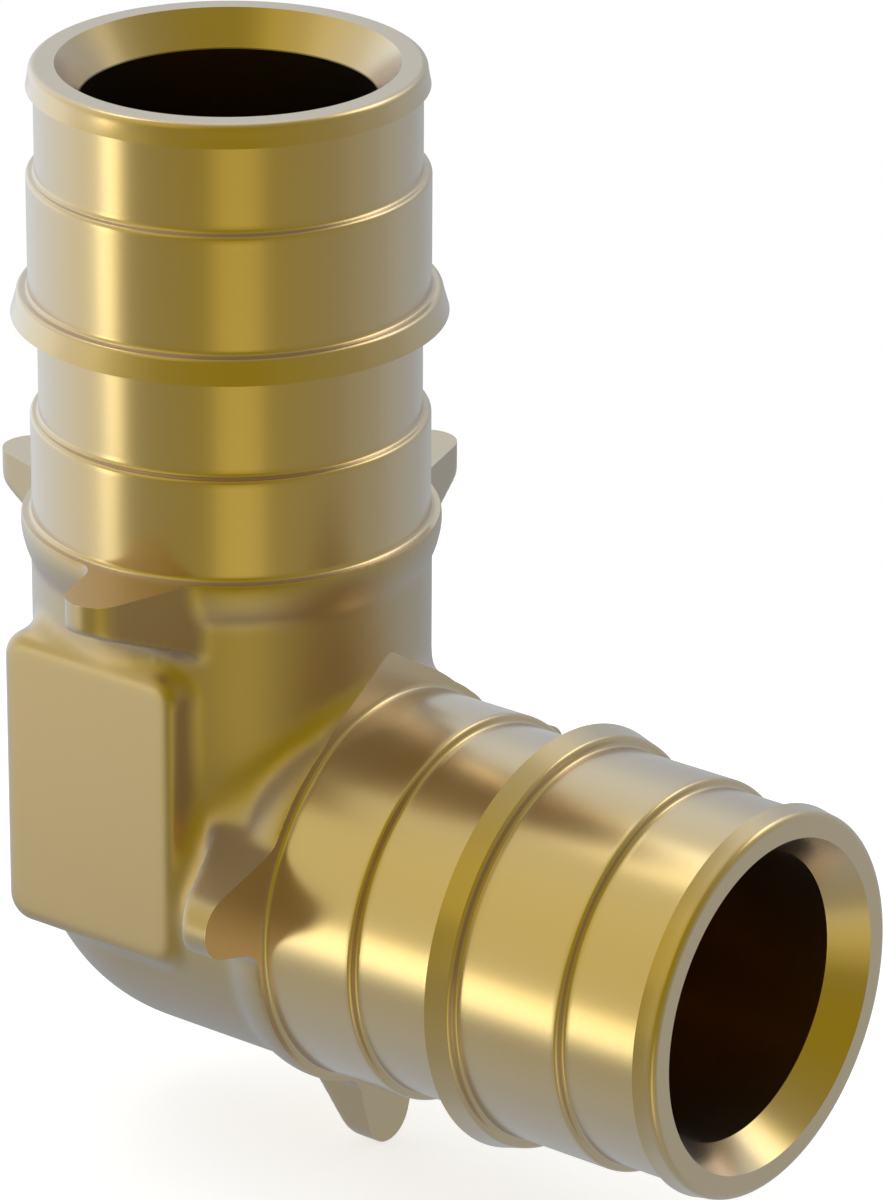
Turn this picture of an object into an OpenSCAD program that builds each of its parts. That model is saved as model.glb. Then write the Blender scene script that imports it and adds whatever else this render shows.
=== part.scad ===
// Ninety degree elbow for expanded plastic water tube.
// One forged and turned brass piece: two barbed spigots of unequal length on a plain round bend.
// The axes of the legs cross at the origin. One leg rises along +Z, the other runs along +X.
// Along a leg, sizes are counted back from its mouth, because that is how it is turned.

/* [Legs] */
// Crossing of the axes to the mouth of the upright leg
upright_leg = 54.3; // [50:0.1:80]
// Crossing of the axes to the mouth of the level leg
level_leg = 44.15; // [44.1:0.05:80]
// Diameter of the forged bend behind the spigots
bend_d = 26.34; // [26:0.02:27]

/* [Waterway] */
// Diameter of the finished bore in both legs
bore_d = 19.4; // [17:0.1:20.6]
// Diameter of the bevelled mouth
mouth_d = 22.4; // [20.8:0.1:23.4]
// Depth of the bevel inside the mouth
mouth_bevel = 2.4; // [0.8:0.1:3.2]
// Depth of the finished bore, counted from the mouth
bore_depth = 30; // [24:0.1:34]
// How much the drilled corner is narrower than the bore, all round
corner_step = 0.4; // [0.1:0.05:1]

/* [Mouth rim] */
// Diameter of the rim at the mouth
rim_front_d = 25.8; // [25.4:0.05:26]
// Diameter of the rim's sharp back edge
rim_back_d = 26.16; // [26.05:0.01:26.6]
// Length of the rim
rim_len = 1.5; // [1:0.1:3]
// Rounding of the rim's outer edge at the mouth
rim_round = 0.45; // [0.1:0.05:0.6]

/* [Lands] */
// Diameter of the two narrow lands
narrow_land_d = 25.2; // [24.6:0.1:25.4]
// Diameter of the two wide lands
wide_land_d = 26.34; // [26:0.02:26.8]
// Mouth to the middle of the first rounded step
first_step_at = 7.3; // [4:0.1:12]
// Mouth to the middle of the second rounded step
second_step_at = 23.85; // [18:0.05:28]

/* [Barb ring] */
// Mouth to the steep front face of the ring
ring_at = 15.3; // [13:0.1:15.6]
// Front face of the ring to its sharp back edge
ring_len = 1.65; // [1:0.05:2]
// Diameter of the ring's rounded front edge
ring_front_d = 27.9; // [27.5:0.05:28.4]
// Diameter of the ring's sharp back edge
ring_back_d = 28.64; // [28.5:0.02:30]
// Rounding of the ring's front edge
ring_round = 0.3; // [0.1:0.05:0.5]
// Fillet at the foot of the ring
ring_fillet = 0.25; // [0.1:0.05:0.35]

/* [Stop collar] */
// Mouth to the collar face that stops the tube
spigot_len = 30.86; // [29:0.02:35]
// Diameter of the collar
collar_d = 27.8; // [27.4:0.05:28.4]
// Rounding of the collar's front edge
collar_round = 0.3; // [0.1:0.05:0.35]
// Length of the collar before its back curves down
collar_len = 0.95; // [0.6:0.05:2]
// Length over which the collar's back comes down to the bend
collar_back_len = 2.1; // [1.5:0.1:3]

/* [Stop lugs] */
// Leg axis to the tip of a lug
lug_reach = 19.3; // [17.5:0.1:23]
// Radius of a lug's round tip
lug_tip_round = 2.15; // [1.5:0.05:2.5]
// Slope of a lug's sides, in degrees
lug_side_slope = 16; // [5:1:22]
// Thickness of a lug at its tip
lug_tip_thick = 2; // [1.2:0.1:3]
// Thickness of a lug where it meets the bend
lug_root_thick = 4.5; // [3.2:0.1:6]
// Shift of the side lugs away from the leg's middle
lug_shift = 2.95; // [0:0.05:4]
// Height of the ridge in the inner corner, over the level axis
ridge_height = 16.2; // [15.6:0.1:18]

/* [Side pads] */
// Middle plane of the elbow to the face of a pad
pad_face = 13.5; // [13.3:0.05:15]
// Width of a pad
pad_w = 14.7; // [12:0.1:16]
// Height of a pad
pad_h = 20.8; // [16:0.1:21]
// How far the middle of a pad lies behind the upright axis
pad_back = 1.35; // [0:0.05:2]
// Height of the middle of a pad over the level axis
pad_z = 6.4; // [5:0.1:6.5]
// Rounding of a pad's four corners
pad_corner = 1.8; // [1.2:0.1:3]
// Rounding of a pad's outer edge
pad_round = 0.8; // [0.2:0.1:1]

/* [Hidden] */
$fn = 96;
// How far a cut runs past the face it opens
past = 1;
bore_r = bore_d / 2;
corner_r = bore_r - corner_step;
mouth_r = mouth_d / 2;
bend_r = bend_d / 2;
narrow_r = narrow_land_d / 2;
wide_r = wide_land_d / 2;
collar_r = collar_d / 2;
// A step is two equal quarter rounds that share its height
step_round = (wide_r - narrow_r) / 2;
// Outward growth of the mouth's bevel for each millimetre towards the mouth
bevel_rate = (mouth_r - bore_r) / mouth_bevel;
// The collar's back comes down in two slopes, with a shoulder between them
collar_back_at = spigot_len + collar_len;
collar_end_at = collar_back_at + collar_back_len;
// Shares of the back's length and height at which the shoulder lies
shoulder_along = 0.57;
shoulder_up = 0.65;
shoulder_at = collar_back_at + shoulder_along * collar_back_len;
shoulder_r = bend_r + shoulder_up * (collar_r - bend_r);
// Middle of a lug's round tip, and where its sides leave that round
lug_tip_at = lug_reach - lug_tip_round;
lug_side_at = lug_tip_at + lug_tip_round * sin(lug_side_slope);
lug_side_half = lug_tip_round * cos(lug_side_slope);
// A lug starts at the bore, so that its corners lie inside the wall of the bend
lug_start = bore_r;
lug_start_half = lug_side_half + (lug_side_at - lug_start) * tan(lug_side_slope);
lug_slope = (lug_root_thick - lug_tip_thick) / (lug_reach - bend_r);
lug_start_thick = lug_root_thick + lug_slope * (bend_r - lug_start);
// Where the flanks of the corner ridge touch the collar's circle
ridge_touch = asin(collar_r / ridge_height);
pad_thick = 2 * pad_face;
brass = [0.72, 0.56, 0.27];

// Outline of a cylinder between two distances from the mouth
module band(radius, from, to) {
    translate([0, -to]) square([radius, to - from]);
}

// Rounded step from the narrow land up to the wide land
module step_outline(at) {
    middle_r = (narrow_r + wide_r) / 2;
    difference() {
        band(middle_r, at - step_round, at);
        translate([middle_r, step_round - at]) circle(step_round);
    }
    intersection() {
        band(wide_r, at, at + step_round);
        union() {
            band(middle_r, at, at + step_round);
            translate([middle_r, -at - step_round]) circle(step_round);
        }
    }
}

// Rim at the mouth, a little wider at its back
module rim_outline() {
    front_r = rim_front_d / 2;
    polygon([
        [0, -rim_len],
        [rim_back_d / 2, -rim_len],
        [front_r, -rim_round],
        [front_r - rim_round, -rim_round],
        [front_r - rim_round, 0],
        [0, 0]
    ]);
    translate([front_r - rim_round, -rim_round]) circle(rim_round);
}

// Barb ring: steep front face with a fillet at its foot, then a slope out to a sharp back edge
module ring_outline() {
    front_r = ring_front_d / 2;
    polygon([
        [0, -ring_at - ring_len],
        [ring_back_d / 2, -ring_at - ring_len],
        [front_r, -ring_at - ring_round],
        [front_r - ring_round, -ring_at - ring_round],
        [front_r - ring_round, -ring_at],
        [0, -ring_at]
    ]);
    translate([front_r - ring_round, -ring_at - ring_round]) circle(ring_round);
    difference() {
        band(wide_r + ring_fillet, ring_at - ring_fillet, ring_at);
        translate([wide_r + ring_fillet, ring_fillet - ring_at]) circle(ring_fillet);
    }
}

// Collar that stops the tube, sloped down to the bend behind it
module collar_outline() {
    edge_r = collar_r - collar_round;
    band(edge_r, spigot_len, collar_back_at);
    band(collar_r, spigot_len + collar_round, collar_back_at);
    translate([edge_r, -spigot_len - collar_round]) circle(collar_round);
    polygon([
        [0, -collar_end_at],
        [bend_r, -collar_end_at],
        [shoulder_r, -shoulder_at],
        [collar_r, -collar_back_at],
        [0, -collar_back_at]
    ]);
}

// Half section of one spigot, from its mouth back to where the bend is plain
module spigot_outline() {
    rim_outline();
    band(narrow_r, 0, first_step_at);
    step_outline(first_step_at);
    band(wide_r, first_step_at + step_round, ring_at);
    ring_outline();
    band(narrow_r, ring_at, second_step_at);
    step_outline(second_step_at);
    band(wide_r, second_step_at + step_round, spigot_len);
    collar_outline();
}

// Half section of one arm of the bend, which ends in a ball at the crossing of the axes
module arm_outline(arm) {
    square([bend_r, arm]);
    intersection() {
        circle(bend_r);
        translate([0, -bend_r]) square([bend_r, bend_r]);
    }
}

// Half section of the waterway of one leg: bevelled mouth, finished bore and ball-ended drilled corner
module bore_outline(leg) {
    polygon([
        [0, -leg],
        [corner_r, -leg],
        [corner_r, -bore_depth - corner_step],
        [bore_r, -bore_depth],
        [bore_r, -mouth_bevel],
        [mouth_r + past * bevel_rate, past],
        [0, past]
    ]);
    intersection() {
        translate([0, -leg]) circle(corner_r);
        band(corner_r, leg, leg + corner_r);
    }
}

module spigot(leg) {
    translate([0, 0, leg]) rotate_extrude() spigot_outline();
}

// Arm of the bend on +Z, cut off along the mitre plane that it shares with the other arm on the +X side
module mitred_arm(leg) {
    reach = 2 * leg;
    intersection() {
        rotate_extrude() arm_outline(leg - collar_end_at);
        rotate([0, -45, 0]) translate([-reach, -reach, 0]) cube([2 * reach, 2 * reach, reach]);
    }
}

// Plain round bend: two arms that meet on the mitre plane
module bend() {
    mitred_arm(upright_leg);
    mirror([1, 0, -1]) mitred_arm(level_leg);
}

module leg_bore(leg) {
    translate([0, 0, leg]) rotate_extrude() bore_outline(leg);
}

// Lug that points along +X from a leg on +Z, its front level with the collar face at z = 0
module lug() {
    intersection() {
        translate([0, 0, -lug_start_thick]) linear_extrude(lug_start_thick) {
            translate([lug_tip_at, 0]) circle(lug_tip_round);
            polygon([
                [lug_start, -lug_start_half],
                [lug_side_at, -lug_side_half],
                [lug_side_at, lug_side_half],
                [lug_start, lug_start_half]
            ]);
        }
        rotate([90, 0, 0]) translate([0, 0, -lug_start_half - past]) {
            linear_extrude(2 * (lug_start_half + past)) polygon([
                [lug_start, -lug_start_thick],
                [lug_reach + past, lug_slope * past - lug_tip_thick],
                [lug_reach + past, past],
                [lug_start, past]
            ]);
        }
    }
}

// Two side lugs, set off the middle of a leg on +Z towards +X
module side_lugs() {
    for (side = [-90, 90]) translate([lug_shift, 0, 0]) rotate([0, 0, side]) lug();
}

// Lugs behind the collar of the upright leg: one on each side and one on the outside of the bend
module upright_lugs() {
    translate([0, 0, upright_leg - spigot_len]) {
        side_lugs();
        rotate([0, 0, 180]) lug();
    }
}

// The same lugs behind the collar of the level leg, in that leg's own upright position
module level_lugs() {
    translate([0, 0, level_leg - spigot_len]) {
        mirror([1, 0, 0]) side_lugs();
        lug();
    }
}

// Ridge in the inner corner, from the upright leg's axis forward to the level leg's collar face
module corner_ridge() {
    flank_y = collar_r * cos(ridge_touch);
    flank_z = collar_r * sin(ridge_touch);
    rotate([90, 0, 90]) linear_extrude(level_leg - spigot_len) {
        polygon([[0, bore_r], [flank_y, flank_z], [0, ridge_height], [-flank_y, flank_z]]);
    }
}

// Section across the rounded rim of the pad slab, outwards from its inner block
module pad_edge() {
    inner = pad_corner - pad_round;
    translate([0, -pad_face]) square([inner, pad_thick]);
    translate([0, pad_round - pad_face]) square([pad_corner, pad_thick - 2 * pad_round]);
    for (face = [-1, 1]) translate([inner, face * (pad_face - pad_round)]) circle(pad_round);
}

// Straight stretch of the slab's rim along Y, facing +X
module pad_side(length) {
    rotate([90, 0, 0]) translate([0, 0, -length / 2]) linear_extrude(length) pad_edge();
}

// One slab through the bend, whose rounded faces are the two side pads
module pads() {
    block_w = pad_w - 2 * pad_corner;
    block_h = pad_h - 2 * pad_corner;
    translate([-pad_back, 0, pad_z]) rotate([90, 0, 0]) {
        cube([block_w, block_h, pad_thick], center = true);
        for (turn = [0, 180]) {
            rotate([0, 0, turn]) translate([block_w / 2, 0, 0]) pad_side(block_h);
            rotate([0, 0, turn + 90]) translate([block_h / 2, 0, 0]) pad_side(block_w);
        }
        for (sx = [-1, 1], sy = [-1, 1]) {
            start = sx > 0 ? (sy > 0 ? 0 : 270) : (sy > 0 ? 90 : 180);
            translate([sx * block_w / 2, sy * block_h / 2, 0]) rotate([0, 0, start]) {
                rotate_extrude(angle = 90) intersection() {
                    pad_edge();
                    translate([0, -pad_face]) square([pad_corner, pad_thick]);
                }
            }
        }
    }
}

module elbow_body() {
    color(brass) difference() {
        union() {
            bend();
            spigot(upright_leg);
            rotate([0, 90, 0]) spigot(level_leg);
            upright_lugs();
            rotate([0, 90, 0]) level_lugs();
            corner_ridge();
            pads();
        }
        leg_bore(upright_leg);
        rotate([0, 90, 0]) leg_bore(level_leg);
    }
}

elbow_body();
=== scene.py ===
# %% [markdown]
# # A brass elbow for expanded water tube
# The real part is one piece of brass. A hot blank is forged into a plain round bend with two
# flat pads and a few lugs, and then both ends are turned on a lathe into barbed spigots.
# This lesson makes it in the same order: first a soft forging, then crisp turned ends on it.

# %% Load the measured part
import math

import bmesh
import bpy
from mathutils import Matrix, Vector
from mathutils.bvhtree import BVHTree


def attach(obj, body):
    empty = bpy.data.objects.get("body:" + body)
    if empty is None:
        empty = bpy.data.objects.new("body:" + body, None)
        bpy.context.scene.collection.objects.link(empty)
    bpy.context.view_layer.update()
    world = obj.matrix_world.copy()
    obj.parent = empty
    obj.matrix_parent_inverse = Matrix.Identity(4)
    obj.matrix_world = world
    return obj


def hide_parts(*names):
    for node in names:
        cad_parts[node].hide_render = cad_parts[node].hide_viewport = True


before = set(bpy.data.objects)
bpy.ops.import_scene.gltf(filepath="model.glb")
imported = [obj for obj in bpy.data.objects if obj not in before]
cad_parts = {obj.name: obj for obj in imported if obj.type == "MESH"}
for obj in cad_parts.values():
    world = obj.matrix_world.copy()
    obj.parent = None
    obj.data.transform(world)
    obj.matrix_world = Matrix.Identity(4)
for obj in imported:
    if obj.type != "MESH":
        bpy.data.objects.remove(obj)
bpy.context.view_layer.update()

# %% [markdown]
# ## Sizes
# All work is done in millimetres, since remeshing and cutting tools lose accuracy on very small
# numbers. Both legs cross at the origin: one rises along +Z, the other runs along +X. Along a
# leg, sizes are counted back from its mouth.

# %% Sizes of the legs
MM = 0.001
UPRIGHT_LEG = 54.3
LEVEL_LEG = 44.15
STOP_AT = 30.86
TO_LEVEL = Matrix.Rotation(math.radians(90), 4, "Y")
upright_face = UPRIGHT_LEG - STOP_AT
level_face = LEVEL_LEG - STOP_AT


# %% [markdown]
# ## Four small helpers
# A bmesh is a mesh being worked on. The first helper spins an outline of radii and heights
# round the Z axis, as a lathe would, and can turn the result onto another axis. The second
# turns a bmesh into an object. The third adds a modifier, keeps its result as the new mesh and
# takes the modifier away again, and the fourth does that with a cut or a join.

# %% Helpers
DOUBLES_WITHIN = 1e-4


def spun(outline, segments, onto=None):
    shape = bmesh.new()
    points = [shape.verts.new((radius, 0, height)) for radius, height in outline]
    edges = [shape.edges.new(pair) for pair in zip(points, points[1:])]
    bmesh.ops.spin(shape, geom=points + edges, cent=(0, 0, 0), axis=(0, 0, 1),
                   angle=math.tau, steps=segments, use_merge=True)
    bmesh.ops.remove_doubles(shape, verts=shape.verts, dist=DOUBLES_WITHIN)
    if onto:
        bmesh.ops.transform(shape, verts=shape.verts, matrix=onto)
    return shape


def as_object(shape, name):
    bmesh.ops.recalc_face_normals(shape, faces=shape.faces)
    mesh = bpy.data.meshes.new(name)
    shape.to_mesh(mesh)
    shape.free()
    made = bpy.data.objects.new(name, mesh)
    bpy.context.collection.objects.link(made)
    return made


def work(item, kind, **settings):
    step = item.modifiers.new("step", kind)
    for word, value in settings.items():
        setattr(step, word, value)
    graph = bpy.context.evaluated_depsgraph_get()
    mesh = bpy.data.meshes.new_from_object(item.evaluated_get(graph))
    item.modifiers.clear()
    old = item.data
    item.data = mesh
    bpy.data.meshes.remove(old)


def cut(item, tool, how):
    work(item, "BOOLEAN", object=tool, operation=how, solver="MANIFOLD")
    bpy.data.objects.remove(tool)


# %% [markdown]
# ## The bend
# The bend is two round bars that meet at a right angle, with a ball at the heel. Forgings have
# no sharp inner corners, because hot metal has to flow round them. A bevel is hard to keep even
# along the crease of two round bars, so here is another way: the bars start 2.2 mm too thick, a
# voxel remesh melts them together, and the skin is then pushed back in along its normals, which
# opens the inner crease into a round of about that same size.

# %% Two bars and a ball, too thick by the fillet
BEND_R = 13.255
BEND_FILLET = 2.2
BEND_VOXEL = 0.3
BAR_SEGMENTS = 160
BAR_SPARE = 8


def bar(radius, low, high, onto=None):
    shape = bmesh.new()
    bmesh.ops.create_cone(shape, cap_ends=True, segments=BAR_SEGMENTS, radius1=radius,
                          radius2=radius, depth=high - low)
    bmesh.ops.translate(shape, verts=shape.verts, vec=(0, 0, (low + high) / 2))
    if onto:
        bmesh.ops.transform(shape, verts=shape.verts, matrix=onto)
    return shape


def together(shapes, name):
    whole = bmesh.new()
    for shape in shapes:
        bmesh.ops.recalc_face_normals(shape, faces=shape.faces)
        part = bpy.data.meshes.new("part")
        shape.to_mesh(part)
        shape.free()
        whole.from_mesh(part)
        bpy.data.meshes.remove(part)
    mesh = bpy.data.meshes.new(name)
    whole.to_mesh(mesh)
    whole.free()
    made = bpy.data.objects.new(name, mesh)
    bpy.context.collection.objects.link(made)
    return made


thick = BEND_R + BEND_FILLET
heel = bmesh.new()
bmesh.ops.create_uvsphere(heel, u_segments=128, v_segments=64, radius=thick)
elbow = together(
    [
        bar(thick, 0, upright_face + BAR_SPARE),
        bar(thick, 0, level_face + BAR_SPARE, TO_LEVEL),
        heel,
    ],
    "elbow",
)
work(elbow, "REMESH", mode="VOXEL", voxel_size=BEND_VOXEL, adaptivity=0)
work(elbow, "SMOOTH", factor=0.5, iterations=8)
work(elbow, "DISPLACE", strength=-BEND_FILLET, mid_level=0)
print("bend", len(elbow.data.polygons), "faces")

# %% [markdown]
# ## Collars
# Behind each spigot the forging swells into a low collar that stops the tube. Its back comes
# down to the bend in a soft curve, so it is spun from a short outline. It stands a little
# proud of the stop face, and that spare is faced off later.

# %% Collar of the forging
COLLAR_R = 13.9
COLLAR_SPARE = 0.15
COLLAR_BACK = -3.4
COLLAR_SEGMENTS = 160
COLLAR_SLOPE = [
    (COLLAR_R, -0.95), (13.83, -1.34), (13.74, -1.74), (13.6, -2.24), (13.42, -2.64),
    (13.2, -3.09), (12.6, COLLAR_BACK),
]


def collar_blank(face, onto=None):
    outline = [(0, COLLAR_SPARE), (COLLAR_R, COLLAR_SPARE)] + COLLAR_SLOPE + [(0, COLLAR_BACK)]
    raised = [(radius, face + height) for radius, height in outline]
    return spun(raised, COLLAR_SEGMENTS, onto)


# %% [markdown]
# ## Lugs
# Small lugs stand out from the collar. Each narrows to a round tip and is thinner there than at
# its root. One flat outline is filled, extruded, and its back is then moved point by point to
# slope, which gives the tapered thickness without a second tool.

# %% A lug, pointing along +X, with its front above z = 0 to be cut level later
LUG_REACH = 19.3
LUG_TIP_R = 2.15
LUG_SLOPE = math.radians(16)
LUG_SPARE = 1.6
LUG_ROOT = 11.4
LUG_TIP_THICK = 2.0
LUG_GAIN = 2.5
LUG_TIP_STEPS = 12


def lug_outline():
    tip_at = LUG_REACH - LUG_TIP_R
    side_half = LUG_TIP_R * math.cos(LUG_SLOPE)
    side_at = tip_at + LUG_TIP_R * math.sin(LUG_SLOPE)
    root_half = side_half + (side_at - LUG_ROOT) * math.tan(LUG_SLOPE)
    turn_each = (math.pi - 2 * LUG_SLOPE) / LUG_TIP_STEPS
    turns = [-math.pi / 2 + LUG_SLOPE + turn_each * i for i in range(LUG_TIP_STEPS + 1)]
    tip = [(tip_at + LUG_TIP_R * math.cos(a), LUG_TIP_R * math.sin(a)) for a in turns]
    return tip + [(LUG_ROOT, root_half), (LUG_ROOT, -root_half)]


def lug_blank(face, degrees, shift, onto=None):
    shape = bmesh.new()
    front = shape.faces.new([shape.verts.new((x, y, LUG_SPARE)) for x, y in lug_outline()])
    pulled = bmesh.ops.extrude_face_region(shape, geom=[front])
    for point in [p for p in pulled["geom"] if isinstance(p, bmesh.types.BMVert)]:
        gained = LUG_GAIN * (LUG_REACH - point.co.x) / (LUG_REACH - BEND_R)
        point.co.z = -(LUG_TIP_THICK + gained)
    bmesh.ops.rotate(shape, verts=shape.verts, cent=(0, 0, 0),
                     matrix=Matrix.Rotation(math.radians(degrees), 3, "Z"))
    bmesh.ops.translate(shape, verts=shape.verts, vec=(shift, 0, face))
    if onto:
        bmesh.ops.transform(shape, verts=shape.verts, matrix=onto)
    return shape


# %% [markdown]
# ## Pads
# Two bare pads lie on the sides of the bend, where a spanner can hold it. One slab right
# through the bend makes both, and two rounds of bevelling give it round corners and soft rims.

# %% A pad: a slab with four round corners and a soft outer edge
PAD_MIDDLE = (-1.35, 0, 6.4)
PAD_SIZE = (14.7, 27.0, 20.8)
PAD_CORNER = 1.8
PAD_RIM = 0.8
ON_FACE = 1e-4


def pad_blank():
    shape = bmesh.new()
    bmesh.ops.create_cube(shape, size=1)
    bmesh.ops.scale(shape, verts=shape.verts, vec=PAD_SIZE)
    corners = [e for e in shape.edges if abs((e.verts[0].co - e.verts[1].co).y) > 1]
    bmesh.ops.bevel(shape, geom=corners, offset=PAD_CORNER, affect="EDGES", segments=8,
                    profile=0.5, material=-1)
    rims = [e for e in shape.edges
            if all(abs(abs(v.co.y) - PAD_SIZE[1] / 2) < ON_FACE for v in e.verts)]
    bmesh.ops.bevel(shape, geom=rims, offset=PAD_RIM, affect="EDGES", segments=5,
                    profile=0.5, material=-1)
    bmesh.ops.translate(shape, verts=shape.verts, vec=PAD_MIDDLE)
    return shape


# %% [markdown]
# ## The ridge in the inner corner
# The tool that faces the level collar passes within a hair of the upright leg. It cuts the
# fillet between the legs there and leaves a small flat shaped like a pointed arch. A short bar
# under that fillet lifts it to the right height. The bar's section has two equal bowed flanks
# that meet at the top and end close to the circle of the collar.

# %% A short bar whose section is a pointed arch
RIDGE_TOP = 14.2
RIDGE_FOOT = (6.8, 12.15)
RIDGE_INSIDE = 9.5
RIDGE_BOW = 8.5
RIDGE_START = 10.5
RIDGE_LENGTH = 4.5
RIDGE_STEPS = 8


def ridge_flank():
    foot_y, foot_z = RIDGE_FOOT
    chord = math.hypot(foot_y, RIDGE_TOP - foot_z)
    lean = math.atan2(RIDGE_TOP - foot_z, foot_y)
    rise = math.sqrt(RIDGE_BOW ** 2 - chord ** 2 / 4)
    middle_y = foot_y / 2 - rise * math.sin(lean)
    middle_z = (RIDGE_TOP + foot_z) / 2 - rise * math.cos(lean)
    first = math.atan2(RIDGE_TOP - middle_z, -middle_y)
    last = math.atan2(foot_z - middle_z, foot_y - middle_y)
    turns = [first + (last - first) * i / RIDGE_STEPS for i in range(RIDGE_STEPS + 1)]
    return [(middle_y + RIDGE_BOW * math.cos(a), middle_z + RIDGE_BOW * math.sin(a))
            for a in turns]


def ridge_blank():
    flank = ridge_flank()
    outline = flank + [(0, RIDGE_INSIDE)] + [(-y, z) for y, z in reversed(flank[1:])]
    shape = bmesh.new()
    section = shape.faces.new([shape.verts.new((RIDGE_START, y, z)) for y, z in outline])
    bar_end = bmesh.ops.extrude_face_region(shape, geom=[section])
    moved = [p for p in bar_end["geom"] if isinstance(p, bmesh.types.BMVert)]
    bmesh.ops.translate(shape, verts=moved, vec=(RIDGE_LENGTH, 0, 0))
    return shape


# %% [markdown]
# ## Where the details go
# Each collar has three lugs. Two stand on its sides, a little off the leg's middle and towards
# the inner corner, and the third points away from that corner.

# %% All details in one mesh
LUG_SHIFT = 2.95
details = together(
    [
        collar_blank(upright_face),
        collar_blank(level_face, TO_LEVEL),
        lug_blank(upright_face, 180, 0),
        lug_blank(upright_face, 90, LUG_SHIFT),
        lug_blank(upright_face, -90, LUG_SHIFT),
        lug_blank(level_face, 0, 0, TO_LEVEL),
        lug_blank(level_face, 90, -LUG_SHIFT, TO_LEVEL),
        lug_blank(level_face, -90, -LUG_SHIFT, TO_LEVEL),
        pad_blank(),
        ridge_blank(),
    ],
    "details",
)
print("details", len(details.data.polygons), "faces")

# %% [markdown]
# ## Melting the forging together
# A voxel remesh lays one even skin over everything that overlaps. Pushed out by a millimetre,
# remeshed and pulled back in, that skin keeps its outer edges but fills each inner corner with a
# fillet of a millimetre. A few rounds of smoothing then soften the outer edges a little.

# %% Join, remesh, fillet
FILLET = 1.0
FINE_VOXEL = 0.2
joined = bmesh.new()
joined.from_mesh(elbow.data)
joined.from_mesh(details.data)
joined.to_mesh(elbow.data)
joined.free()
bpy.data.objects.remove(details)
work(elbow, "REMESH", mode="VOXEL", voxel_size=FINE_VOXEL, adaptivity=0)
work(elbow, "SMOOTH", factor=0.5, iterations=2)
work(elbow, "DISPLACE", strength=FILLET, mid_level=0)
work(elbow, "REMESH", mode="VOXEL", voxel_size=FINE_VOXEL, adaptivity=0)
work(elbow, "SMOOTH", factor=0.5, iterations=5)
work(elbow, "DISPLACE", strength=-FILLET, mid_level=0)
work(elbow, "REMESH", mode="VOXEL", voxel_size=FINE_VOXEL, adaptivity=0)
work(elbow, "SMOOTH", factor=0.5, iterations=5)
work(elbow, "DECIMATE", ratio=0.4)
print("forging", len(elbow.data.polygons), "faces")

# %% [markdown]
# ## Facing off
# On the lathe, the front of each collar and its lugs is faced off flat, which leaves crisp edges
# on an otherwise soft forging. A large box cuts everything in front of each stop face away. The
# cut goes a hair deeper than the spigot's own face, so that no two faces lie in one plane.

# %% Cut the stop faces
HAIR = 0.004
BEYOND = 40
FACED_UP_TO = 19


def block(low, high):
    shape = bmesh.new()
    bmesh.ops.create_cube(shape, size=1)
    size = Vector(high) - Vector(low)
    bmesh.ops.scale(shape, verts=shape.verts, vec=size)
    bmesh.ops.translate(shape, verts=shape.verts, vec=(Vector(low) + Vector(high)) / 2)
    return as_object(shape, "block")


above = block((-BEYOND, -BEYOND, upright_face - HAIR), (BEYOND, BEYOND, 2 * BEYOND))
cut(elbow, above, "DIFFERENCE")
beside = block((level_face - HAIR, -BEYOND, -BEYOND), (2 * BEYOND, BEYOND, FACED_UP_TO))
cut(elbow, beside, "DIFFERENCE")
print("faced off", len(elbow.data.polygons), "faces")

# %% [markdown]
# ## A look at the arch
# The shape of the pointed arch comes from the fillet, so it is not known before it is made. Rays
# shot down just behind the faced-off flat tell how high it came out over the level leg's axis.

# %% Measure the pointed arch
skin = bmesh.new()
skin.from_mesh(elbow.data)
surface = BVHTree.FromBMesh(skin)
skin.free()
for aside in (0, 2, 4, 6):
    start = Vector((level_face - 2 * HAIR, aside, FACED_UP_TO - HAIR))
    hit = surface.ray_cast(start, Vector((0, 0, -1)))[0]
    print("arch", round(hit.z, 2), "mm high at", aside, "mm from the middle")

# %% [markdown]
# ## The turned spigots
# A spigot is a true turned form, so its half section is drawn once and spun round the axis. From
# the mouth back it has a bevelled mouth, a rim, a narrow land, a rounded step, a wide land, the
# sharp barb ring, and again a narrow and a wide land. Second points close to the sharp corners
# keep the shading of the flat bands flat right up to them.

# %% Sizes of a spigot, as radii and distances back from the mouth
NARROW_R = 12.6
WIDE_R = 13.17
BORE_R = 9.7
MOUTH_R = 11.2
MOUTH_DEPTH = 2.4
RIM_R = 13.08
RIM_BACK = 1.5
RIM_ROUND = 0.45
RING_R = 14.32
RING_FRONT = 15.3
RING_BACK = 16.95
RING_FOOT = 0.25
RING_ROUND = 0.3
COLLAR_FOOT = 0.3
FIRST_STEP = 7.3
SECOND_STEP = 23.85
BESIDE_CORNER = 0.04
LAND_START = 0.2
STEP_R = (WIDE_R - NARROW_R) / 2
BURIED_R = 13.6
BURIED_END = 31.8


# %% Half section of a spigot
def arc(radius, back, round_by, start, end, steps=6):
    spots = []
    for i in range(steps + 1):
        a = math.radians(start + (end - start) * i / steps)
        spots.append((radius + round_by * math.cos(a), back - round_by * math.sin(a)))
    return spots


def step_up(at):
    middle = NARROW_R + STEP_R
    low = [(NARROW_R, at - STEP_R - 0.3)] + arc(middle, at - STEP_R, STEP_R, 180, 270)
    high = arc(middle, at + STEP_R, STEP_R, 90, 0) + [(WIDE_R, at + STEP_R + 0.3)]
    return low + high


def sharp_back(radius, back):
    return [(radius, back), (radius - BESIDE_CORNER, back), (NARROW_R + BESIDE_CORNER, back),
            (NARROW_R, back), (NARROW_R, back + LAND_START)]


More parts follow.
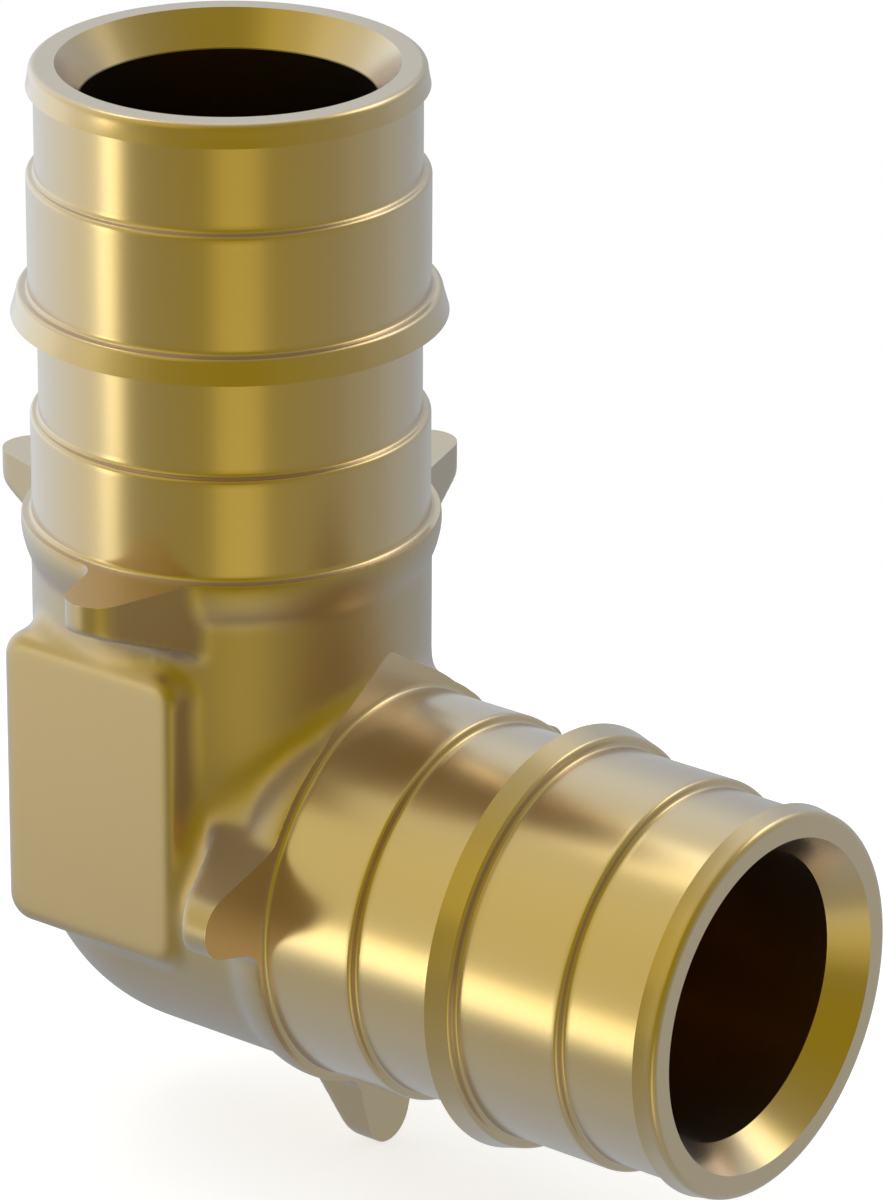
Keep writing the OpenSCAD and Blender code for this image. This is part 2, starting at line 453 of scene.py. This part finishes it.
half_section = [(0, MOUTH_DEPTH), (BORE_R, MOUTH_DEPTH), (MOUTH_R, 0),
                (MOUTH_R + BESIDE_CORNER, 0), (12.35, 0)]
half_section += arc(12.45, RIM_ROUND, RIM_ROUND, 90, 8)
half_section += [(12.91, 0.6), (13.06, 1.42)] + sharp_back(RIM_R, RIM_BACK)
half_section += step_up(FIRST_STEP)
half_section += [(WIDE_R, 14.9)]
half_section += arc(WIDE_R + RING_FOOT, RING_FRONT - RING_FOOT, RING_FOOT, 180, 270)
half_section += [(13.6, RING_FRONT)]
half_section += arc(13.65, RING_FRONT + RING_ROUND, RING_ROUND, 90, 12)
half_section += [(13.97, 15.7), (14.3, 16.88)] + sharp_back(RING_R, RING_BACK)
half_section += step_up(SECOND_STEP)
half_section += [(WIDE_R, 30.4)]
half_section += arc(WIDE_R + COLLAR_FOOT, STOP_AT - COLLAR_FOOT, COLLAR_FOOT, 180, 270)
half_section += [(BURIED_R, STOP_AT), (BURIED_R, BURIED_END), (0, BURIED_END)]
print("half section", len(half_section), "points")

# %% Spin both spigots and join them to the forging
SPIGOT_SEGMENTS = 192


def spigot(leg, onto=None):
    outline = [(radius, leg - back) for radius, back in half_section]
    return as_object(spun(outline, SPIGOT_SEGMENTS, onto), "spigot")


cut(elbow, spigot(UPRIGHT_LEG), "UNION")
cut(elbow, spigot(LEVEL_LEG, TO_LEVEL), "UNION")
print("with spigots", len(elbow.data.polygons), "faces")

# %% [markdown]
# ## The waterway
# Both legs are bored from their mouths. Where the two drillings meet, a ball-ended corner a
# little narrower than the bore joins them. Each drill is spun like a spigot and cut away.

# %% Drill both legs
BORE_DEPTH = 30.0
CORNER_R = 9.3
DRILL_SPARE = 0.6
BALL_STEPS = 12


def drill(leg, onto=None):
    outline = [(0, leg + DRILL_SPARE), (BORE_R, leg + DRILL_SPARE), (BORE_R, leg - BORE_DEPTH),
               (CORNER_R, leg - BORE_DEPTH - (BORE_R - CORNER_R))]
    for i in range(BALL_STEPS + 1):
        a = math.radians(90 * i / BALL_STEPS)
        outline.append((CORNER_R * math.cos(a), -CORNER_R * math.sin(a)))
    return as_object(spun(outline, SPIGOT_SEGMENTS, onto), "drill")


cut(elbow, drill(UPRIGHT_LEG), "DIFFERENCE")
cut(elbow, drill(LEVEL_LEG, TO_LEVEL), "DIFFERENCE")
print("bored", len(elbow.data.polygons), "faces")

# %% [markdown]
# ## Smooth skin, crisp edges
# The mesh is scaled to metres and shaded smooth, and every edge that turns by more than 32
# degrees is marked sharp. Weighted normals keep the long lands from bending their reflections
# towards the tiny rounds beside them.

# %% Scale and shade
SHARP_FROM = math.radians(32)
elbow.data.transform(Matrix.Scale(MM, 4))
elbow.data.shade_smooth()
elbow.data.set_sharp_from_angle(angle=SHARP_FROM)
weighted = elbow.modifiers.new("weighted", "WEIGHTED_NORMAL")
weighted.keep_sharp = True
weighted.weight = 60

# %% [markdown]
# ## Brass
# Brass is a metal, so its whole colour is in its reflection: a warm gold face on, paling towards
# the edges, where the light only grazes the surface. An image could carry that look, but a few
# nodes stay sharp at any distance. The four helpers below work on whichever tree of nodes is in
# hand: the first adds a node, the second joins two sockets, the third works out a sum of two
# values, and the fourth goes from one value to another as a share rises from none to all.

# %% Helpers for materials
brass = bpy.data.materials.new("forged_brass")
brass.use_nodes = True
tree = brass.node_tree
shader = tree.nodes["Principled BSDF"]
shader.inputs["Metallic"].default_value = 1.0


def node(kind, **settings):
    made = tree.nodes.new(kind)
    for word, value in settings.items():
        setattr(made, word, value)
    return made


def join(source, socket):
    tree.links.new(source, socket)


def sum_of(how, first, second):
    made = node("ShaderNodeMath", operation=how)
    for socket, value in zip(made.inputs, (first, second)):
        if isinstance(value, float):
            socket.default_value = value
        else:
            join(value, socket)
    return made.outputs[0]


def blend(share_socket, at_none, at_all):
    made = node("ShaderNodeMapRange")
    made.inputs["To Min"].default_value = at_none
    made.inputs["To Max"].default_value = at_all
    join(share_socket, made.inputs["Value"])
    return made.outputs["Result"]


# %% [markdown]
# ## What has been on the lathe
# The turned ends are a little smoother and lighter than the forged bend. Object coordinates tell
# the two apart: the stop faces and everything in front of them have been turned. Along the level
# leg that holds only up to 18.5 mm, because the forged collar and lugs of the upright leg reach
# out above it.

# %% Turned or forged
FACE_MARGIN = 0.03
UNDER_COLLAR = 18.5
place = node("ShaderNodeTexCoord")
split = node("ShaderNodeSeparateXYZ")
join(place.outputs["Object"], split.inputs[0])
x_at, y_at, z_at = split.outputs
over_upright = sum_of("GREATER_THAN", z_at, (upright_face - FACE_MARGIN) * MM)
beside_level = sum_of("GREATER_THAN", x_at, (level_face - FACE_MARGIN) * MM)
under_collar = sum_of("LESS_THAN", z_at, UNDER_COLLAR * MM)
turned = sum_of("MAXIMUM", over_upright, sum_of("MULTIPLY", beside_level, under_collar))

# %% [markdown]
# ## Gold face on, pale at the edge
# Layer Weight gives the share of grazing, and mixes the gold with the pale tone. At the very
# edge a metal turns into a plain mirror and would show the cool light of the studio as it is.
# The shader's specular tint warms that last rim.

# %% Gold and pale
GOLD = (0.67, 0.385, 0.02, 1)
PALE = (0.71, 0.64, 0.58, 1)
PALE_FROM = 0.83
shader.inputs["Specular Tint"].default_value = (0.94, 0.885, 0.84, 1)
grazing = node("ShaderNodeLayerWeight")
grazing.inputs["Blend"].default_value = 0.5
share = node("ShaderNodeMapRange")
share.inputs["From Max"].default_value = PALE_FROM
join(grazing.outputs["Facing"], share.inputs["Value"])
tone = node("ShaderNodeMix", data_type="RGBA")
tone.inputs["A"].default_value = GOLD
tone.inputs["B"].default_value = PALE
join(share.outputs["Result"], tone.inputs["Factor"])

# %% [markdown]
# ## Darker skin, painted shade in the bore
# The blasted skin of the forging is a little darker than the turned lands, so its tone is scaled
# down. The upright bore is deep and gives little light back, so painted shade goes into its colour
# and turns it nearly black. The bore is taken as all that lies near the upright axis, down to just
# above the outside of the heel, so that the heel itself keeps its tone.

# %% Tone of the forging and painted shade in the upright bore
FORGED_SHADE = 0.88
# The next number scales the upright bore's colour down: painted shade for its deep inside.
BORE_PAINTED_SHADE = 0.42
BORE_WITHIN = 9.75
BORE_FLOOR = -8.85
squares = sum_of("ADD", sum_of("MULTIPLY", x_at, x_at), sum_of("MULTIPLY", y_at, y_at))
near_axis = sum_of("LESS_THAN", squares, (BORE_WITHIN * MM) ** 2)
# This marks where the painted shade of the bore goes.
painted_bore_shade_zone = sum_of("MULTIPLY", near_axis, sum_of("GREATER_THAN", z_at, BORE_FLOOR * MM))
forged_tone_and_painted_shade = sum_of("MULTIPLY", blend(turned, FORGED_SHADE, 1.0), blend(painted_bore_shade_zone, 1.0, BORE_PAINTED_SHADE))
toned = node("ShaderNodeVectorMath", operation="SCALE")
join(tone.outputs["Result"], toned.inputs[0])
join(forged_tone_and_painted_shade, toned.inputs["Scale"])
join(toned.outputs["Vector"], shader.inputs["Base Color"])

# %% [markdown]
# ## Faint grain
# Blasting leaves a fine even grain on the forging, and the lathe leaves fine rings across what
# it has turned. Both change only how rough the metal is. The grain is a noise in all directions,
# the rings a noise along one line, which is the leg's own axis.

# %% Roughness with its grain
TURNED_ROUGH = 0.26
FORGED_ROUGH = 0.44
GRAIN_PER_M = 2200
RINGS_PER_M = 3500
GRAIN_DEPTH = 0.03
grain = node("ShaderNodeTexNoise")
grain.inputs["Scale"].default_value = GRAIN_PER_M
grain.inputs["Detail"].default_value = 2
join(place.outputs["Object"], grain.inputs["Vector"])
rings = node("ShaderNodeTexNoise", noise_dimensions="1D")
rings.inputs["Scale"].default_value = RINGS_PER_M
rings.inputs["Detail"].default_value = 2
join(sum_of("MAXIMUM", z_at, x_at), rings.inputs["W"])
texture = node("ShaderNodeMix", data_type="FLOAT")
join(turned, texture.inputs["Factor"])
join(grain.outputs[0], texture.inputs["A"])
join(rings.outputs[0], texture.inputs["B"])
spread = sum_of("MULTIPLY", sum_of("SUBTRACT", texture.outputs["Result"], 0.5), GRAIN_DEPTH)
roughness = sum_of("ADD", blend(turned, FORGED_ROUGH, TURNED_ROUGH), spread)
join(roughness, shader.inputs["Roughness"])
print("brass", len(tree.nodes), "nodes")

# %% [markdown]
# ## One finished piece
# The elbow takes the place of the plain measured solid and rides on the part's root.

# %% Hand the elbow over
elbow.data.materials.clear()
elbow.data.materials.append(brass)
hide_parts("elbow_body")
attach(elbow, "root")

# %% [markdown]
# ## Floor
# The elbow stands on its lowest lug over a pale floor. The camera sees the paper as white, but
# its shade stays, so the shadow under the part is kept. The metal mirrors the cards below it
# instead of the paper.

# %% Floor
FLOOR_R = 0.105
FLOOR_Z = -0.0194
PAPER_GLOW = 0.62
floor_shape = bmesh.new()
bmesh.ops.create_circle(floor_shape, cap_ends=True, segments=96, radius=FLOOR_R)
bmesh.ops.translate(floor_shape, verts=floor_shape.verts, vec=(0, 0, FLOOR_Z))
floor = as_object(floor_shape, "floor")
floor.visible_glossy = False
paper = bpy.data.materials.new("paper")
paper.use_nodes = True
tree = paper.node_tree
matt = tree.nodes["Principled BSDF"]
matt.inputs["Base Color"].default_value = (0.85, 0.85, 0.85, 1)
matt.inputs["Roughness"].default_value = 1.0
matt.inputs["Specular IOR Level"].default_value = 0.0
matt.inputs["Emission Color"].default_value = (1, 1, 1, 1)
path = node("ShaderNodeLightPath")
join(sum_of("MULTIPLY", path.outputs["Is Camera Ray"], PAPER_GLOW), matt.inputs["Emission Strength"])
floor.data.materials.append(paper)
print("floor", FLOOR_R * 2, "m across")

# %% [markdown]
# ## Studio
# A polished metal shows its whole surroundings, so these matter more than any lamp. The part
# stands in a white room inside a tent of large cards in several greys, which only the metal
# sees. Room, cards and lamps are a trace cooler than white in the metal's mirror image, which
# keeps the gold from looking orange.

# %% White room
COOL = (0.84, 0.94, 1.0, 1)
ROOM_LIGHT = 0.6
world = bpy.data.worlds.new("studio")
bpy.context.scene.world = world
world.use_nodes = True
tree = world.node_tree
room = tree.nodes["Background"]
path = node("ShaderNodeLightPath")
seen = sum_of("MAXIMUM", path.outputs["Is Camera Ray"], path.outputs["Is Glossy Ray"])
seen = sum_of("MAXIMUM", seen, path.outputs["Is Transmission Ray"])
join(blend(seen, ROOM_LIGHT, 1.0), room.inputs["Strength"])
tint = node("ShaderNodeMix", data_type="RGBA")
tint.inputs["A"].default_value = (1, 1, 1, 1)
tint.inputs["B"].default_value = COOL
join(path.outputs["Is Glossy Ray"], tint.inputs["Factor"])
join(tint.outputs["Result"], room.inputs["Color"])

# %% [markdown]
# ## Cards
# The edges of the cards and the gaps between them draw the bands on the lands. Each card is a
# patch of a large ball round the part, spun from one upright line. The camera and the floor
# don't see the cards, and they throw no shadow.

# %% A card
CARD_AT = 2.0
CARD_ROWS = 8
CARD_STEPS = 32


def spot(azimuth, elevation, distance):
    a, e = math.radians(azimuth), math.radians(elevation)
    return Vector((math.sin(a) * math.cos(e), -math.cos(a) * math.cos(e), math.sin(e))) * distance


def card_cloth(brightness):
    cloth = bpy.data.materials.new("card")
    cloth.use_nodes = True
    cloth_tree = cloth.node_tree
    cloth_tree.nodes.clear()
    glow = cloth_tree.nodes.new("ShaderNodeEmission")
    glow.inputs["Color"].default_value = COOL
    glow.inputs["Strength"].default_value = brightness
    out = cloth_tree.nodes.new("ShaderNodeOutputMaterial")
    cloth_tree.links.new(glow.outputs[0], out.inputs["Surface"])
    return cloth


def card(azimuths, elevations, brightness):
    shape = bmesh.new()
    low, high = elevations
    points = [shape.verts.new(spot(azimuths[0], low + (high - low) * i / CARD_ROWS, CARD_AT))
              for i in range(CARD_ROWS + 1)]
    edges = [shape.edges.new(pair) for pair in zip(points, points[1:])]
    bmesh.ops.spin(shape, geom=points + edges, cent=(0, 0, 0), axis=(0, 0, 1),
                   angle=math.radians(azimuths[1] - azimuths[0]), steps=CARD_STEPS)
    made = as_object(shape, "card")
    made.visible_camera = False
    made.visible_diffuse = False
    made.visible_shadow = False
    made.data.materials.append(card_cloth(brightness))


# %% The tent, as azimuths and elevations in degrees and a brightness
CARDS_BELOW = [
    ((185, 300), (-89, -55), 0.6), ((-60, 185), (-89, -55), 0.52), ((210, 325), (-55, -27), 0.62),
    ((-35, 30), (-55, -25), 0.48), ((30, 58), (-50, -25), 1.15), ((30, 58), (-55, -50), 0.55),
    ((58, 90), (-55, -25), 0.62), ((90, 130), (-55, -25), 0.5), ((130, 210), (-55, -25), 0.58),
]
CARDS_AROUND = [
    ((-27, 30), (-25, -5), 0.43), ((-27, -16), (-5, 22), 0.75), ((-16, -3), (-5, 22), 0.55),
    ((-3, 30), (-5, 22), 0.43), ((30, 58), (-25, -13), 0.85), ((30, 58), (-13, 22), 0.42),
    ((58, 112), (-25, 22), 0.43), ((112, 140), (-25, 22), 0.5), ((140, 185), (-25, 24), 0.58),
    ((185, 212), (-25, 24), 0.62), ((212, 226), (-25, 24), 0.8), ((226, 238), (-25, 24), 0.93),
    ((238, 300), (-14, 14), 1.27), ((238, 282), (14, 36), 1.17),
]
CARDS_ABOVE = [
    ((-30, 8), (22, 62), 0.76), ((8, 20), (22, 62), 0.54), ((20, 112), (22, 62), 0.42),
    ((112, 132), (22, 62), 0.5), ((185, 215), (24, 38), 0.78), ((180, 360), (62, 89), 0.7),
    ((0, 180), (62, 89), 0.48),
]
for azimuths, elevations, brightness in CARDS_BELOW + CARDS_AROUND + CARDS_ABOVE:
    card(azimuths, elevations, brightness)
print("tent of", len(CARDS_BELOW + CARDS_AROUND + CARDS_ABOVE), "cards")


# %% [markdown]
# ## Lamps
# One narrow soft panel in front gives the brightest band on the lands. Two wide ones above lift
# the upper faces. Large and far away, they make soft edges on the satin metal.

# %% Soft panels
PANEL_AT = 1.9


def panel(name, azimuth, elevation, size, brightness):
    lamp = bpy.data.lights.new(name, "AREA")
    lamp.shape = "RECTANGLE"
    lamp.size, lamp.size_y = size
    lamp.energy = brightness * math.pi * size[0] * size[1]
    lamp.color = COOL[:3]
    made = bpy.data.objects.new(name, lamp)
    made.location = spot(azimuth, elevation, PANEL_AT)
    made.rotation_euler = (-made.location).to_track_quat("-Z", "Y").to_euler()
    bpy.context.collection.objects.link(made)
    print(name, round(lamp.energy, 2), "W")


panel("low_panel", -34, -12.5, (0.36, 0.53), 2.85)
panel("high_panel", -97, 59, (0.75, 0.34), 2.3)
panel("back_panel", 160, 47, (0.9, 0.6), 1.7)

# %% [markdown]
# ## Camera
# The camera looks from the right and a little above. It stands nearly half a metre away, so
# that both spigots keep nearly the same size, and a long lens fills the picture with the part.
# It is set by its place and three turns.

# %% Camera
CAMERA_AT = (0.268457, -0.328258, 0.195275)
AZIMUTH = math.radians(37.4)
ELEVATION = math.radians(22.8408)
ROLL = math.radians(0.2965)
LENS = 207.84
camera_data = bpy.data.cameras.new("camera")
camera_data.lens = LENS
camera_data.sensor_width = 36
camera_data.clip_start = 0.01
camera_data.clip_end = 20
camera = bpy.data.objects.new("camera", camera_data)
bpy.context.collection.objects.link(camera)
bpy.context.scene.camera = camera
around = Matrix.Rotation(AZIMUTH, 4, "Z")
upwards = Matrix.Rotation(math.radians(90) - ELEVATION, 4, "X")
sideways = Matrix.Rotation(ROLL, 4, "Z")
camera.matrix_world = Matrix.Translation(CAMERA_AT) @ (around @ upwards @ sideways)
bpy.context.scene.view_settings.view_transform = "Standard"
